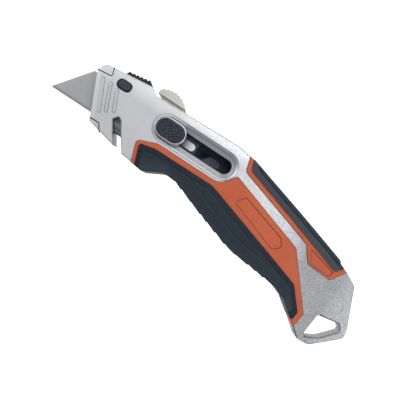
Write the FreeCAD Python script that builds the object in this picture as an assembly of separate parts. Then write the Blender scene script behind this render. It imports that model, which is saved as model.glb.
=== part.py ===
import FreeCAD, Part
import math
import os

# Utility knife with a side slide, in millimetres.  Drawing axes: X runs from the blade's tip to
# the butt, Y from the cutting edge to the spine, Z out of the left side, with the blade's mid-plane
# at Z = 0.  The finished solids are moved so that the knife lies on its right side on Z = 0.

# ---- blade ----
blade_start = -3.3
blade_length = 61.0
blade_back_length = 32.0
blade_height = 19.0
blade_thickness = 0.6
blade_grind = 1.3
notch_width = 3.2
notch_depth = 2.4
notch_spacing = 12.8
lock_peg_radius = 1.0

# ---- body thickness, from the parting plane out ----
nose_half = 7.0
shoulder_half = 7.8
body_half = 9.6
waist_half = 5.6
tail_half = 5.2
butt_half = 4.1
nose_flat_x = 20.0
shoulder_x = 44.0
body_x = 64.0
edge_round = 0.9
slot_round = 0.5
hole_round = 0.7

# ---- lengths along the body ----
handle_start = 104.0
handle_length = 89.5
drawn_handle_length = 89.5
mechanism_travel = 29.0

# ---- grips and trims ----
grip_rise = 1.9
trim_rise = 0.5
seat_depth = 1.0
grip_wrap = 2.0
pad_recess = 0.4

# ---- slide track on the left side ----
track_front = 52.2
track_length = 49.1
track_width = 15.2
track_centre_y = 13.8
track_lip = 1.3
track_lip_depth = 0.8
track_wall_depth = 0.6
slot_width = 6.9
slot_front = 55.4
slot_rear = 97.7
track_floor = 1.4

# ---- carrier ----
carrier_front = 40.0
carrier_rear = 78.0
carrier_bottom = 7.5
carrier_top = 21.0
carrier_thickness = 3.15
carrier_round = 4.0
arm_front = 50.0
arm_length = 8.0
arm_half = 1.2
arm_reach = 2.0
clamp_thickness = 1.15
clamp_front = 42.0
clamp_length = 26.0
clamp_low_y = 8.5
clamp_high_y = 18.6
rivet_inset = 3.6
rivet_margin = 1.9
rivet_cover = 1.0
rivet_radius = 1.2

# ---- slider and its pad ----
slider_centre_x = 62.0
slider_length = 17.0
slider_width = 11.2
slider_rim = 0.9
slider_height = 2.3
slider_floor = 0.7
slider_foot_length = 11.5
pad_height = 1.7
pad_proud = 1.0
pad_spring_radius = 2.0
rim_round = 0.4
pad_round = 0.6
tongue_length = 6.4
tongue_width = 3.9
tongue_thickness = 0.5
tongue_root = 3.4
tongue_offset = 0.8

# ---- top thumb slide ----
cap_front = 45.8
cap_length = 16.5
cap_height = 4.9
cap_front_height = 2.4
cap_rear_height = 1.5
cap_slope = 1.4
cap_crown = 0.48
cap_half = 5.0
cap_base_half = 2.9
cap_base_front = 2.2
cap_base_rear = 1.6
cap_channel_depth = 3.1
cap_teeth = 7
tooth_radius = 0.55

# ---- blade release button ----
button_x = 30.05
button_y = 20.3
button_hole_length = 8.1
button_hole_width = 5.2
button_length = 6.6
button_width = 4.2
button_proud = 1.3
button_skirt = 3.4
button_shoulder = 1.4
button_crown = 0.2
button_round = 0.5
button_floor = 0.6
leaf_thickness = 0.5
leaf_front = 25.6
leaf_root = 4.0
leaf_width = 3.0
leaf_y = 19.2
release_spring_y = 22.0
release_spring_radius = 0.7
release_spring_wire = 0.3

# ---- spring wire ----
spring_wire = 0.45
spring_turns = 3.25

# ---- thumb rest ----
rest_half = 4.9
rest_keel_half = 1.4
rest_keel_front = 29.0
rest_keel_rear = 34.4
rest_keel_low = 24.0
rest_front = 26.8
rest_rear = 41.6
rest_lip = 0.1
rest_sink = 0.6
rest_ribs = 6
rest_rib_start = 1.6
rest_rib_pitch = 2.1
rest_rib_half = 0.55
rest_rib_round = 0.3
rest_rib_depth = 0.6
rest_peak = 27.55
rest_climb = 0.34

# ---- spare blades ----
spare_count = 3
spare_corner = (86.0, 15.2)
spare_tilt = -4.0
magazine_plate = 0.55
magazine_rib = ((76.0, 16.0), (95.0, 16.0), 1.0)
magazine_window = ((80.0, 12.4), (92.0, 12.4), 5.0)
leaf_spring_start = 84.0
leaf_spring_end = 114.0
leaf_spring_thickness = 0.3
leaf_spring_low = -1.0
leaf_spring_width = 7.0
bay_depth_right = 5.6

# ---- string cutter ----
cutter_thickness = 0.55
cutter_front = 36.0
cutter_rear = 46.5
cutter_edge_y = -2.4
cutter_back_y = 4.6

# ---- screws ----
screw_radius = 1.25
screw_head_radius = 2.2
screw_head_height = 1.6
screw_sink = 0.6
screw_depth = 3.2
socket_length = 2.6
socket_width = 0.6
socket_depth = 0.7

# ---- clearances ----
fit_gap = 0.05
slide_gap = 0.15
running_gap = 0.3
free_gap = 0.45

far = 60.0
tall = 20.0


def rear(x):
    """Place along the handle: points behind the track follow the handle's length."""
    if x <= handle_start:
        return x
    return handle_start + (x - handle_start) * handle_length / drawn_handle_length


# Outlines: corner X, corner Y and the radius of the arc there.
nose_outline = [
    (23.3, -1.6, 1.2),
    (13.4, 20.5, 1.2),
    (16.6, 24.7, 1.5),
    (26.4, 25.8, 4.0),
    (42.1, 27.5, 1.2),
    (46.0, 24.8, 1.5),
]
spine_outline = [
    (95.5, 26.3, 8.0),
    (105.5, 24.7, 10.0),
    (169.3, 6.5, 1.2),
    (170.4, 5.1, 1.2),
    (176.2, 3.1, 3.0),
    (183.6, -0.5, 3.0),
    (192.4, -20.9, 6.0),
    (193.5, -26.0, 3.5),
    (179.9, -38.7, 5.0),
    (172.3, -38.9, 4.0),
]
belly_outline = [
    (164.8, -32.6, 6.0),
    (155.2, -25.7, 12.0),
    (147.0, -22.9, 6.0),
    (118.0, -19.8, 40.0),
    (101.5, -14.6, 20.0),
    (77.4, -6.2, 6.0),
    (70.4, -6.0, 4.0),
    (61.0, -11.1, 2.5),
    (47.6, -9.5, 1.5),
    (24.2, -4.3, 1.2),
]
belly_edge = [
    (55.4, -14.0, 0.0),
    (50.2, 0.8, 2.0),
    (60.5, 4.8, 8.0),
    (97.0, 4.9, 8.0),
    (102.9, 12.9, 0.8),
    (146.6, -0.9, 3.0),
    (168.5, -26.5, 3.0),
    (168.1, -32.3, 4.0),
    (164.4, -43.0, 0.0),
]
belly_black = [
    (57.6, -14.0, 0.0),
    (52.5, 0.2, 1.2),
    (61.0, 2.1, 4.0),
    (94.5, 2.3, 4.0),
    (100.5, 0.6, 6.0),
    (155.8, -16.4, 3.0),
    (165.4, -27.3, 2.0),
    (165.3, -30.1, 3.0),
    (160.4, -43.0, 0.0),
]
back_edge = [
    (100.4, 32.0, 0.0),
    (105.0, 17.4, 3.0),
    (150.3, 3.7, 2.5),
    (156.4, -4.2, 2.5),
    (170.5, -4.8, 2.0),
    (178.0, 7.0, 0.0),
    (178.0, 32.0, 0.0),
]
back_black = [
    (102.4, 32.0, 0.0),
    (106.8, 19.2, 3.0),
    (170.3, -0.1, 1.6),
    (176.0, 8.0, 0.0),
    (176.0, 32.0, 0.0),
]
badge_outline = [
    (108.0, 1.7, 1.5),
    (112.0, 6.9, 1.5),
    (137.6, -0.6, 2.5),
    (140.4, -4.4, 1.5),
    (137.0, -8.2, 2.5),
]
facet_outline = [
    (153.0, 3.4, 0.5),
    (169.8, -0.7, 0.5),
    (169.1, -3.9, 0.5),
    (157.6, -3.6, 1.0),
]
string_slot = [
    (48.8, -12.0, 0.0),
    (38.1, 4.6, 1.6),
    (36.2, 5.7, 0.8),
    (33.9, 3.3, 1.2),
    (43.6, -12.0, 0.0),
]
lanyard_hole = [
    (175.3, -23.2, 0.8),
    (187.1, -21.0, 1.2),
    (189.8, -24.1, 1.5),
    (182.1, -32.7, 6.0),
    (177.0, -35.5, 1.5),
    (174.3, -34.7, 1.0),
]
handle_bay = [
    (66.0, -3.1, 1.0),
    (77.5, -3.3, 1.0),
    (108.0, -13.2, 2.0),
    (144.0, -17.5, 2.0),
    (146.0, -4.0, 2.0),
    (132.0, 0.5, 2.0),
    (120.5, 12.6, 1.0),
    (108.0, 16.6, 1.0),
    (66.0, 20.0, 1.0),
]
upper_tab = [
    (11.6, 19.7, 0.0),
    (21.3, 20.7, 0.6),
    (21.9, 21.6, 0.4),
    (20.2, 26.2, 0.0),
    (11.6, 26.2, 0.0),
]
lower_tab = [
    (22.0, -2.6, 0.0),
    (29.4, -2.5, 0.4),
    (32.6, -7.4, 0.0),
    (22.0, -7.4, 0.0),
]
nose_ribs = [((18.8, 17.7), (26.2, 2.4)), ((23.4, 17.7), (29.0, 4.4)), ((28.1, 16.4), (32.6, 6.3))]
rib_width = 1.2
rib_rise = 0.45
nose_chamfer_width = 2.5
nose_chamfer_depth = 1.6
butt_slope = (175.7, 180.3)
butt_lean = 0.08
screw_places = [(37.6, 22.9), (48.4, -5.4), (128.4, 7.5), (163.0, -11.0)]

# ---- heights worked out from the sizes above ----
carrier_low = blade_thickness / 2 + slide_gap
carrier_high = carrier_low + carrier_thickness
tongue_high = carrier_high + fit_gap + tongue_thickness
left_bay = tongue_high + slide_gap + fit_gap
floor_top = left_bay + track_floor
rim_low = body_half - track_lip_depth - slide_gap + fit_gap
rim_high = rim_low + slider_height
clamp_low = -carrier_low - clamp_thickness
clamp_bay = -clamp_low + free_gap
cap_low = 27.0


def vector(x, y, z=0.0):
    return FreeCAD.Vector(x, y, z)


def rounded_wire(corners):
    """Closed wire of straight runs joined by tangent arcs, each arc limited by its two runs."""
    count = len(corners)
    edges = []
    last_end = None
    first_start = None
    for index in range(count):
        x, y, radius = corners[index]
        here = vector(x, y)
        before = vector(*corners[index - 1][:2])
        after = vector(*corners[(index + 1) % count][:2])
        into = here - before
        out = after - here
        longest_setback = 0.49 * min(into.Length, out.Length)
        into.normalize()
        out.normalize()
        half_turn = into.getAngle(out) / 2
        setback = min(radius * math.tan(half_turn), longest_setback)
        start = here - into * setback
        end = here + out * setback
        if last_end is not None:
            edges.append(Part.makeLine(last_end, start))
        if setback > 0.001:
            arc_radius = setback / math.tan(half_turn)
            inward = out - into
            inward.normalize()
            middle = here + inward * (arc_radius / math.cos(half_turn) - arc_radius)
            edges.append(Part.Arc(start, middle, end).toShape())
        if first_start is None:
            first_start = start
        last_end = end
    edges.append(Part.makeLine(last_end, first_start))
    return Part.Wire(edges)


def along_handle(corners):
    return [(rear(x), y, radius) for x, y, radius in corners]


def prism(corners, low, high):
    face = Part.Face(rounded_wire(corners))
    face.translate(vector(0, 0, low))
    return face.extrude(vector(0, 0, high - low))


def box(x0, x1, y0, y1, z0, z1):
    return Part.makeBox(x1 - x0, y1 - y0, z1 - z0, vector(x0, y0, z0))


def cylinder(x, y, radius, low, high):
    return Part.makeCylinder(radius, high - low, vector(x, y, low))


def racetrack(centre_x, centre_y, length, width, grow=0.0):
    """Corners of a racetrack whose straight sides run along X."""
    half_length = length / 2 + grow
    half_width = width / 2 + grow
    radius = 0.98 * half_width
    return [
        (centre_x - half_length, centre_y - half_width, radius),
        (centre_x - half_length, centre_y + half_width, radius),
        (centre_x + half_length, centre_y + half_width, radius),
        (centre_x + half_length, centre_y - half_width, radius),
    ]


def capsule(start, end, width):
    """Corners of a rounded bar between two points."""
    run = vector(end[0] - start[0], end[1] - start[1])
    run.normalize()
    side = vector(-run.y, run.x) * (width / 2)
    radius = 0.45 * width
    first = vector(*start)
    second = vector(*end)
    places = [first + side, second + side, second - side, first - side]
    return [(place.x, place.y, radius) for place in places]


def side_solid(extra):
    """Everything under the body's side surface, raised by extra: the thickness along X."""
    corners = [
        (-far, 0.0, 0.0),
        (-far, nose_half + extra, 0.0),
        (nose_flat_x, nose_half + extra, 60.0),
        (shoulder_x, shoulder_half + extra, 90.0),
        (body_x, body_half + extra, 90.0),
        (rear(142.0), body_half + extra, 120.0),
        (rear(172.0), waist_half + extra, 90.0),
        (rear(194.0), tail_half + extra, 0.0),
        (rear(194.0) + far, tail_half + extra, 0.0),
        (rear(194.0) + far, 0.0, 0.0),
    ]
    face = Part.Face(rounded_wire(corners))
    face.rotate(vector(0, 0), vector(1, 0), 90.0)
    face.translate(vector(0, -2 * far))
    return face.extrude(vector(0, 4 * far))


def leaning_prism(corners):
    """Solid from a section of (x, z) corners, drawn through Y along the butt's lean."""
    face = Part.Face(rounded_wire(corners))
    face.rotate(vector(0, 0), vector(1, 0), 90.0)
    lean = vector(butt_lean * far, far)
    face.translate(-lean)
    return face.extrude(lean * 2)


def butt_slope_cut():
    """Space above the slope that runs down from the handle to the butt plate."""
    crest, foot = (rear(x) for x in butt_slope)
    above = 2 * crest - foot
    return leaning_prism([(above, 2 * waist_half - butt_half, 0.0), (foot, butt_half, 0.0),
                          (foot, tall, 0.0), (above, tall, 0.0)])


def butt_zone():
    """Everything behind the foot of that slope."""
    foot = rear(butt_slope[1])
    return leaning_prism([(foot, -tall, 0.0), (foot + far, -tall, 0.0),
                          (foot + far, tall, 0.0), (foot, tall, 0.0)])


def body_outline():
    return nose_outline + along_handle(spine_outline + belly_outline)


def round_rim(solid, outline, radius):
    """Round the upper edges of a solid that lie over an outline."""
    rim = []
    for edge in solid.Edges:
        middle = edge.valueAt((edge.FirstParameter + edge.LastParameter) / 2)
        ground = Part.Vertex(middle.x, middle.y, 0.0)
        if edge.BoundBox.ZMin > radius and outline.distToShape(ground)[0] < 0.001:
            rim.append(edge)
    return solid.makeFillet(radius, rim)


def body_blank(extra):
    """Half of the body's full form, from the parting plane out, with its rim rounded."""
    blank = prism(body_outline(), 0.0, tall).common(side_solid(extra))
    return round_rim(blank, rounded_wire(body_outline()), edge_round)


def grip_seat():
    """The metal that lies under the grips and trims."""
    core = Part.Face(rounded_wire(body_outline())).makeOffset2D(-grip_wrap)
    return core.extrude(vector(0, 0, tall)).common(side_solid(-seat_depth))


def mirrored(shape):
    return shape.mirror(vector(0, 0), vector(0, 0, 1))


def blade_outline():
    lead = (blade_length - blade_back_length) / 2
    middle = blade_length / 2
    corners = [(0.0, 0.0), (lead, blade_height)]
    for side in (-1, 1):
        centre = middle + side * notch_spacing / 2
        corners.append((centre - notch_width / 2, blade_height))
        corners.append((centre - notch_width / 2 + 0.4, blade_height - notch_depth))
        corners.append((centre + notch_width / 2 - 0.4, blade_height - notch_depth))
        corners.append((centre + notch_width / 2, blade_height))
    corners.append((blade_length - lead, blade_height))
    corners.append((blade_length, 0.0))
    return [(x, y, 0.15) for x, y in corners]


def make_blade():
    """Double-ended blade, ground to an edge from both faces."""
    half = blade_thickness / 2
    body = prism(blade_outline(), -half, half)
    for side in (-1, 1):
        wedge = Part.makePolygon([
            vector(-1, -fit_gap, side * fit_gap),
            vector(-1, blade_grind, side * half),
            vector(-1, blade_grind, side * 2 * half),
            vector(-1, -fit_gap, side * 2 * half),
            vector(-1, -fit_gap, side * fit_gap),
        ])
        body = body.cut(Part.Face(wedge).extrude(vector(blade_length + 2, 0)))
    return body


def make_fitted_blade():
    blade = make_blade()
    blade.translate(vector(blade_start, 0))
    return blade


def make_spare_blades():
    """Spare blades stacked in the right half of the handle."""
    lead = (blade_length - blade_back_length) / 2
    blades = []
    for index in range(spare_count):
        spare = make_blade()
        spare.translate(vector(-lead, -blade_height))
        spare.rotate(vector(0, 0), vector(0, 0, 1), spare_tilt)
        drop = spare_top() - blade_thickness / 2 - index * (blade_thickness + fit_gap)
        spare.translate(vector(spare_corner[0], spare_corner[1], drop))
        blades.append(spare)
    return Part.makeCompound(blades)


def magazine_low():
    return -clamp_bay - magazine_plate


def spare_top():
    return magazine_low() - fit_gap


def spare_bottom():
    return spare_top() - spare_count * (blade_thickness + fit_gap)


def inset_bay(gap):
    return Part.Face(rounded_wire(along_handle(handle_bay))).makeOffset2D(-gap)


def make_magazine():
    """Plate that keeps the spare blades apart from the carrier, with a light rib along it."""
    plate = inset_bay(slide_gap).extrude(vector(0, 0, magazine_plate))
    plate.translate(vector(0, 0, magazine_low()))
    rib = prism(capsule(*magazine_rib), -clamp_bay, -clamp_bay + slide_gap)
    window = prism(capsule(*magazine_window), magazine_low() - 1, 0.0)
    return plate.cut(window).fuse(rib)


def make_magazine_spring():
    """Bowed leaf between the spare blades and the shell's floor."""
    crown = spare_bottom() - fit_gap
    foot = -bay_depth_right + fit_gap
    start, end = leaf_spring_start, leaf_spring_end
    middle = (start + end) / 2
    top = foot + leaf_spring_thickness
    outer = Part.Arc(vector(start, 0, top), vector(middle, 0, crown),
                     vector(end, 0, top)).toShape()
    inner = Part.Arc(vector(start, 0, foot), vector(middle, 0, crown - leaf_spring_thickness),
                     vector(end, 0, foot)).toShape()
    ends = [Part.makeLine(vector(x, 0, foot), vector(x, 0, top)) for x in (start, end)]
    strip = Part.Face(Part.Wire(Part.__sortEdges__([outer, inner] + ends)))
    strip.translate(vector(0, leaf_spring_low))
    return strip.extrude(vector(0, leaf_spring_width))


def carrier_bay(low, high):
    front = carrier_front - running_gap
    back = carrier_rear + mechanism_travel + running_gap
    top = carrier_top + running_gap
    bottom = carrier_bottom - running_gap
    corners = [(front, bottom, 1.0), (front, top, 1.0), (back, top, carrier_round + running_gap),
               (back, bottom, 1.0)]
    return prism(corners, low, high)


def blade_channel():
    half = blade_thickness / 2 + slide_gap + fit_gap
    return box(-1.0, blade_length + mechanism_travel + 1.0, -running_gap,
               blade_height + running_gap, -half, half)


def spine_slot():
    """Way for the thumb slide's arm, and the shallow channel its base runs in."""
    arm = box(arm_front - running_gap, arm_front + arm_length + mechanism_travel + running_gap,
              carrier_top, tall * 2, -arm_half - running_gap, arm_half + running_gap)
    base = box(cap_front + cap_base_front - running_gap * 2,
               cap_front + cap_length + mechanism_travel,
               cap_channel_floor(), tall * 2, -cap_base_half - running_gap,
               cap_base_half + running_gap)
    return arm.fuse(base)


def cap_channel_floor():
    return cap_low - cap_channel_depth


def track_cut():
    """Side track: a chamfered lip, a short wall, slopes down to the slot, and the slot."""
    centre = track_front + track_length / 2
    lip_outer = rounded_wire(racetrack(centre, track_centre_y, track_length, track_width))
    lip_inner = rounded_wire(racetrack(centre, track_centre_y, track_length, track_width,
                                       -track_lip))
    wall_foot = body_half - track_lip_depth - track_wall_depth
    lip_outer.translate(vector(0, 0, body_half + fit_gap))
    upper = lip_inner.copy()
    upper.translate(vector(0, 0, body_half - track_lip_depth))
    lip = Part.makeLoft([lip_outer, upper], True)
    above = prism(racetrack(centre, track_centre_y, track_length, track_width),
                  body_half, tall)
    wall = prism(racetrack(centre, track_centre_y, track_length, track_width, -track_lip),
                 wall_foot, body_half - track_lip_depth + fit_gap)
    slot = slot_corners(0.0)
    foot = rounded_wire(slot)
    foot.translate(vector(0, 0, floor_top))
    top = lip_inner.copy()
    top.translate(vector(0, 0, wall_foot + fit_gap))
    slope = Part.makeLoft([top, foot], True)
    through = prism(slot, 0.0, floor_top + fit_gap)
    return lip.fuse([above, wall, slope, through])


def slot_corners(grow):
    middle = (slot_front + slot_rear) / 2
    return racetrack(middle, track_centre_y, slot_rear - slot_front, slot_width, grow)


def nose_chamfer():
    """Wedge that thins the nose behind its front edge."""
    lower = vector(*nose_outline[0][:2])
    upper = vector(*nose_outline[1][:2])
    run = upper - lower
    run.normalize()
    back = vector(run.y, -run.x)
    reach = nose_chamfer_width
    section = [
        lower - run * tall - back * tall,
        lower - run * tall + back * reach,
    ]
    top = nose_half + fit_gap * 4
    drop = top - nose_chamfer_depth
    slope = nose_chamfer_depth / reach
    points = [
        section[0] + vector(0, 0, drop - slope * tall),
        section[1] + vector(0, 0, top),
        section[1] + vector(0, 0, tall),
        section[0] + vector(0, 0, tall),
    ]
    face = Part.Face(Part.makePolygon(points + [points[0]]))
    return face.extrude(run * (far + tall))


def make_tabs(grow):
    """Hooks of the right shell that close the nose, widened by grow for their sockets."""
    tabs = []
    for corners in (upper_tab, lower_tab):
        face = Part.Face(rounded_wire(corners))
        if grow > 0:
            face = face.makeOffset2D(grow)
        tabs.append(face.extrude(vector(0, 0, tall)))
    return tabs[0].fuse(tabs[1])


def flare(corners, surface, width):
    """Chamfer tool for a hole's rim: it widens by width over the same height."""
    low = Part.Face(rounded_wire(corners))
    wide = low.makeOffset2D(2 * width).OuterWire
    narrow = low.OuterWire
    narrow.translate(vector(0, 0, surface - width))
    wide.translate(vector(0, 0, surface + width))
    return Part.makeLoft([narrow, wide], True)


def slot_flare():
    """Chamfer round the string slot, laid along the nose's slope."""
    rise = shoulder_half - nose_half
    run = shoulder_x - nose_flat_x
    middle = string_slot[2][0]
    surface = nose_half + rise * (middle - nose_flat_x) / run
    tool = flare(string_slot, surface, slot_round)
    tool.rotate(vector(middle, 0, surface), vector(0, 1, 0), -math.degrees(math.atan(rise / run)))
    return tool


def hole_flare():
    return flare(along_handle(lanyard_hole), butt_half, hole_round)


def cutter_corners(grow):
    front = cutter_front - grow
    back = cutter_rear + grow
    return [(front, cutter_edge_y - grow, 0.0), (front, cutter_back_y + grow, 0.0),
            (back, cutter_back_y + grow, 0.0), (back, cutter_edge_y - grow, 0.0)]


def cutter_high():
    return -blade_thickness / 2 - slide_gap - fit_gap


def make_string_cutter():
    """Fixed hardened cutter across the string slot, ground along its lower edge."""
    low = cutter_high() - cutter_thickness
    plate = prism(cutter_corners(0.0), low, cutter_high())
    section = Part.makePolygon([
        vector(0, cutter_edge_y, low + cutter_thickness / 2),
        vector(0, cutter_edge_y + blade_grind, cutter_high()),
        vector(0, cutter_edge_y + blade_grind, 1.0),
        vector(0, cutter_edge_y - 1.0, 1.0),
        vector(0, cutter_edge_y - 1.0, low + cutter_thickness / 2),
        vector(0, cutter_edge_y, low + cutter_thickness / 2),
    ])
    return plate.cut(Part.Face(section).extrude(vector(tall * 4, 0)))


def cutter_pocket():
    low = cutter_high() - cutter_thickness - fit_gap
    return prism(cutter_corners(fit_gap), low, 0.0)


def make_half_shell():
    """What both half shells share, drawn as the left one."""
    region = prism(along_handle(belly_edge), 0.0, tall)
    region = region.fuse(prism(along_handle(back_edge), 0.0, tall))
    plate = round_rim(prism(body_outline(), 0.0, butt_half), rounded_wire(body_outline()),
                      edge_round)
    blank = body_blank(0.0).cut(butt_slope_cut()).cut(butt_zone())
    blank = blank.fuse(plate.common(butt_zone()))
    blank = blank.cut(prism(string_slot, -1.0, tall)).cut(slot_flare())
    blank = blank.cut(prism(along_handle(lanyard_hole), -1.0, tall)).cut(hole_flare())
    shell = blank.cut(region.cut(grip_seat()))
    return shell.cut(nose_chamfer())


def make_ribs():
    bars = []
    for start, end in nose_ribs:
        bars.append(prism(capsule(start, end, rib_width), nose_half - 1, tall))
    ribs = bars[0].fuse(bars[1:])
    return ribs.common(side_solid(rib_rise))


def make_left_shell():
    shell = make_half_shell().fuse(make_ribs())
    shell = shell.cut(make_tabs(running_gap))
    shell = shell.cut(track_cut())
    shell = shell.cut(carrier_bay(-1.0, left_bay))
    shell = shell.cut(prism(along_handle(handle_bay), -1.0, left_bay))
    shell = shell.cut(blade_channel())
    shell = shell.cut(spine_slot())
    shell = shell.cut(rest_pocket())
    shell = shell.cut(leaf_way())
    shell = shell.cut(button_way())
    for x, y in screw_places:
        shell = shell.cut(cylinder(rear(x), y, screw_radius + fit_gap, -1.0,
                                   screw_depth + fit_gap))
    return shell


def make_right_shell():
    shell = mirrored(make_half_shell().fuse(make_ribs()))
    tabs = make_tabs(0.0).common(body_blank(0.0))
    shell = shell.fuse(tabs.cut(nose_chamfer()))
    shell = shell.cut(carrier_bay(-clamp_bay, 1.0))
    bay = prism(along_handle(handle_bay), -bay_depth_right, 1.0)
    shell = shell.cut(bay)
    shell = shell.cut(blade_channel())
    shell = shell.cut(spine_slot())
    shell = shell.cut(rest_pocket())
    shell = shell.cut(cutter_pocket())
    for x, y in screw_places:
        shell = shell.cut(make_screw(rear(x), y, fit_gap, tall))
    return shell.removeSplitter()


def screw_face(x):
    """Height of the right side's surface at a screw, read from the side form."""
    probe = cylinder(x, 0.0, fit_gap, 0.0, tall).common(side_solid(0.0))
    return -probe.BoundBox.ZMax


def make_screw(x, y, gap, relief):
    """Countersunk machine screw from the right side; gap and relief grow it into its hole."""
    face = screw_face(x) + screw_sink
    shank = cylinder(x, y, screw_radius + gap, face, screw_depth)
    cone = Part.makeCone(screw_head_radius + gap, screw_radius + gap, screw_head_height,
                         vector(x, y, face))
    screw = shank.fuse(cone)
    if relief > 0:
        screw = screw.fuse(cylinder(x, y, screw_head_radius + gap, face - relief, face))
        return screw
    for length, width in ((socket_length, socket_width), (socket_width, socket_length)):
        screw = screw.cut(box(x - length / 2, x + length / 2, y - width / 2, y + width / 2,
                              face, face + socket_depth))
    return screw


def make_screws():
    return Part.makeCompound([make_screw(rear(x), y, 0.0, 0.0) for x, y in screw_places])


def make_trim(edge, black, recess):
    """Coloured trim: the band between the grip and the shell, wrapped round the outline."""
    band = prism(along_handle(edge), 0.0, tall).cut(prism(along_handle(black), 0.0, tall))
    trim = body_blank(trim_rise).common(band).cut(grip_seat())
    floor = side_solid(trim_rise - pad_recess)
    pocket = prism(along_handle(recess), 0.0, tall).cut(floor)
    return trim.cut(pocket)


def make_grip(black):
    zone = prism(along_handle(black), 0.0, tall)
    return body_blank(grip_rise).common(zone).cut(grip_seat())


def rest_base(x):
    """Height of the nose's top edge at X."""
    first = nose_outline[3]
    second = nose_outline[4]
    share = (x - first[0]) / (second[0] - first[0])
    return first[1] + share * (second[1] - first[1])


def rest_pocket():
    """Seat and keel slot for the thumb rest, cut in both halves' top edge."""
    front, back = rest_front, rest_rear
    seat = prism([(front, rest_base(front) - rest_lip, 0.0),
                  (back, rest_base(back) - rest_sink, 0.0),
                  (back, tall * 2, 0.0), (front, tall * 2, 0.0)], -rest_half, rest_half)
    keel = box(rest_keel_front, rest_keel_rear, rest_keel_low, tall * 2,
               -rest_keel_half, rest_keel_half)
    return seat.fuse(keel)


def make_thumb_rest():
    """Ribbed rubber rest on top of the nose, keyed between the two halves."""
    corners = [(rest_front, rest_base(rest_front) - rest_lip, 0.0)]
    for index in range(rest_ribs):
        x = rest_front + rest_rib_start + index * rest_rib_pitch
        peak = rest_peak + rest_climb * index
        corners.append((x - rest_rib_half, peak, rest_rib_round))
        corners.append((x + rest_rib_half, peak, rest_rib_round))
        corners.append((x + rest_rib_pitch / 2, peak - rest_rib_depth, 0.0))
    corners.append((rest_rear, rest_base(rest_rear) - fit_gap, 0.0))
    corners.append((rest_rear, rest_base(rest_rear) - rest_sink, 0.0))
    top = prism(corners, -rest_half, rest_half)
    keel = box(rest_keel_front, rest_keel_rear, rest_keel_low, rest_base(rest_keel_front),
               -rest_keel_half, rest_keel_half)
    return top.fuse(keel).removeSplitter()


def make_carrier():
    """Cast sled beside the blade, with the thumb slide's arm and the slider's foot."""
    plate = prism([(carrier_front, carrier_bottom, 0.8), (carrier_front, carrier_top, 0.8),
                   (carrier_rear, carrier_top, carrier_round), (carrier_rear, carrier_bottom, 0.8)],
                  carrier_low, carrier_high)
    arm = box(arm_front, arm_front + arm_length, blade_height + running_gap, cap_low + arm_reach,
              -arm_half, arm_half)
    foot = box(arm_front, arm_front + arm_length, blade_height + running_gap, carrier_top,
               -arm_half, carrier_high)
    carrier = plate.fuse([arm, foot])
    for x, y in rivet_places():
        carrier = carrier.cut(cylinder(x, y, rivet_radius + fit_gap, -tall, carrier_high - rivet_cover))
    carrier = carrier.cut(leaf_solid(fit_gap))
    return carrier


def rivet_places():
    x = clamp_front + clamp_length - rivet_inset
    return [(x, clamp_low_y + rivet_margin), (x, clamp_high_y - rivet_margin)]


def make_clamp():
    """Steel plate on the blade's far face, riveted to the carrier behind the blade."""
    clamp_rear = clamp_front + clamp_length
    plate = prism([(clamp_front, clamp_low_y, 1.0), (clamp_front, clamp_high_y, 1.0),
                   (clamp_rear, clamp_high_y, 1.5), (clamp_rear, clamp_low_y, 1.5)],
                  clamp_low, -carrier_low)
    for x, y in rivet_places():
        plate = plate.cut(cylinder(x, y, rivet_radius + fit_gap, -tall, tall))
    return plate


def make_rivets():
    high = carrier_high - rivet_cover - fit_gap
    return Part.makeCompound([cylinder(x, y, rivet_radius, clamp_low, high)
                              for x, y in rivet_places()])


def leaf_solid(gap):
    """Outline of the blade lock leaf, widened by gap for the groove it lies in."""
    high = leaf_high()
    return box(leaf_front - gap, carrier_front + leaf_root + gap, leaf_y - leaf_width / 2 - gap,
               leaf_y + leaf_width / 2 + gap, high - leaf_thickness - gap, high + gap)


def leaf_high():
    return carrier_low + slide_gap + leaf_thickness


def make_lock_leaf():
    """Spring leaf whose peg holds the blade's notch, reached by the release button."""
    notch_x = blade_start + blade_length / 2 + notch_spacing / 2
    peg = cylinder(notch_x, peg_y(), lock_peg_radius, -blade_thickness / 2, leaf_high())
    return leaf_solid(0.0).fuse(peg).removeSplitter()


def peg_y():
    return blade_height - notch_depth + lock_peg_radius + slide_gap


def leaf_way():
    return box(leaf_front - free_gap, carrier_front, peg_y() - lock_peg_radius - running_gap,
               leaf_y + leaf_width / 2 + running_gap, 0.0, leaf_high() + free_gap)


def button_corners(length, width):
    return racetrack(button_x, button_y, length, width)


def button_low():
    return nose_half + button_proud - button_skirt - button_shoulder


def button_way():
    return prism(button_corners(button_hole_length, button_hole_width), button_floor, tall)


def make_button():
    """Push button: a wide skirt in the hole, and a smaller face standing out of it."""
    skirt = prism(button_corners(button_hole_length - 2 * slide_gap,
                                 button_hole_width - 2 * slide_gap),
                  button_low(), button_low() + button_skirt)
    face = prism(button_corners(button_length, button_width), button_low(),
                 nose_half + button_crown + button_proud)
    top = [edge for edge in face.Edges if edge.BoundBox.ZMin > nose_half + button_proud]
    return skirt.fuse(face.makeFillet(button_round, top))


def coil(x, y, radius, wire, low, high):
    """Round-wire compression spring standing on Z = low."""
    rise = high - low - 2 * wire
    helix = Part.makeHelix(rise / spring_turns, rise, radius)
    section = Part.Wire(Part.makeCircle(wire / 2, vector(radius, 0), vector(0, 1, 0)))
    spring = Part.Wire(helix).makePipeShell([section], True, True)
    spring.translate(vector(x, y, low + wire))
    return spring


def make_release_spring():
    return coil(button_x, release_spring_y, release_spring_radius, release_spring_wire,
                button_floor + fit_gap, button_low() - fit_gap)


def slider_corners(grow):
    return racetrack(slider_centre_x, track_centre_y, slider_length, slider_width, grow)


def spring_well_floor():
    return carrier_high + slider_floor


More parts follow.
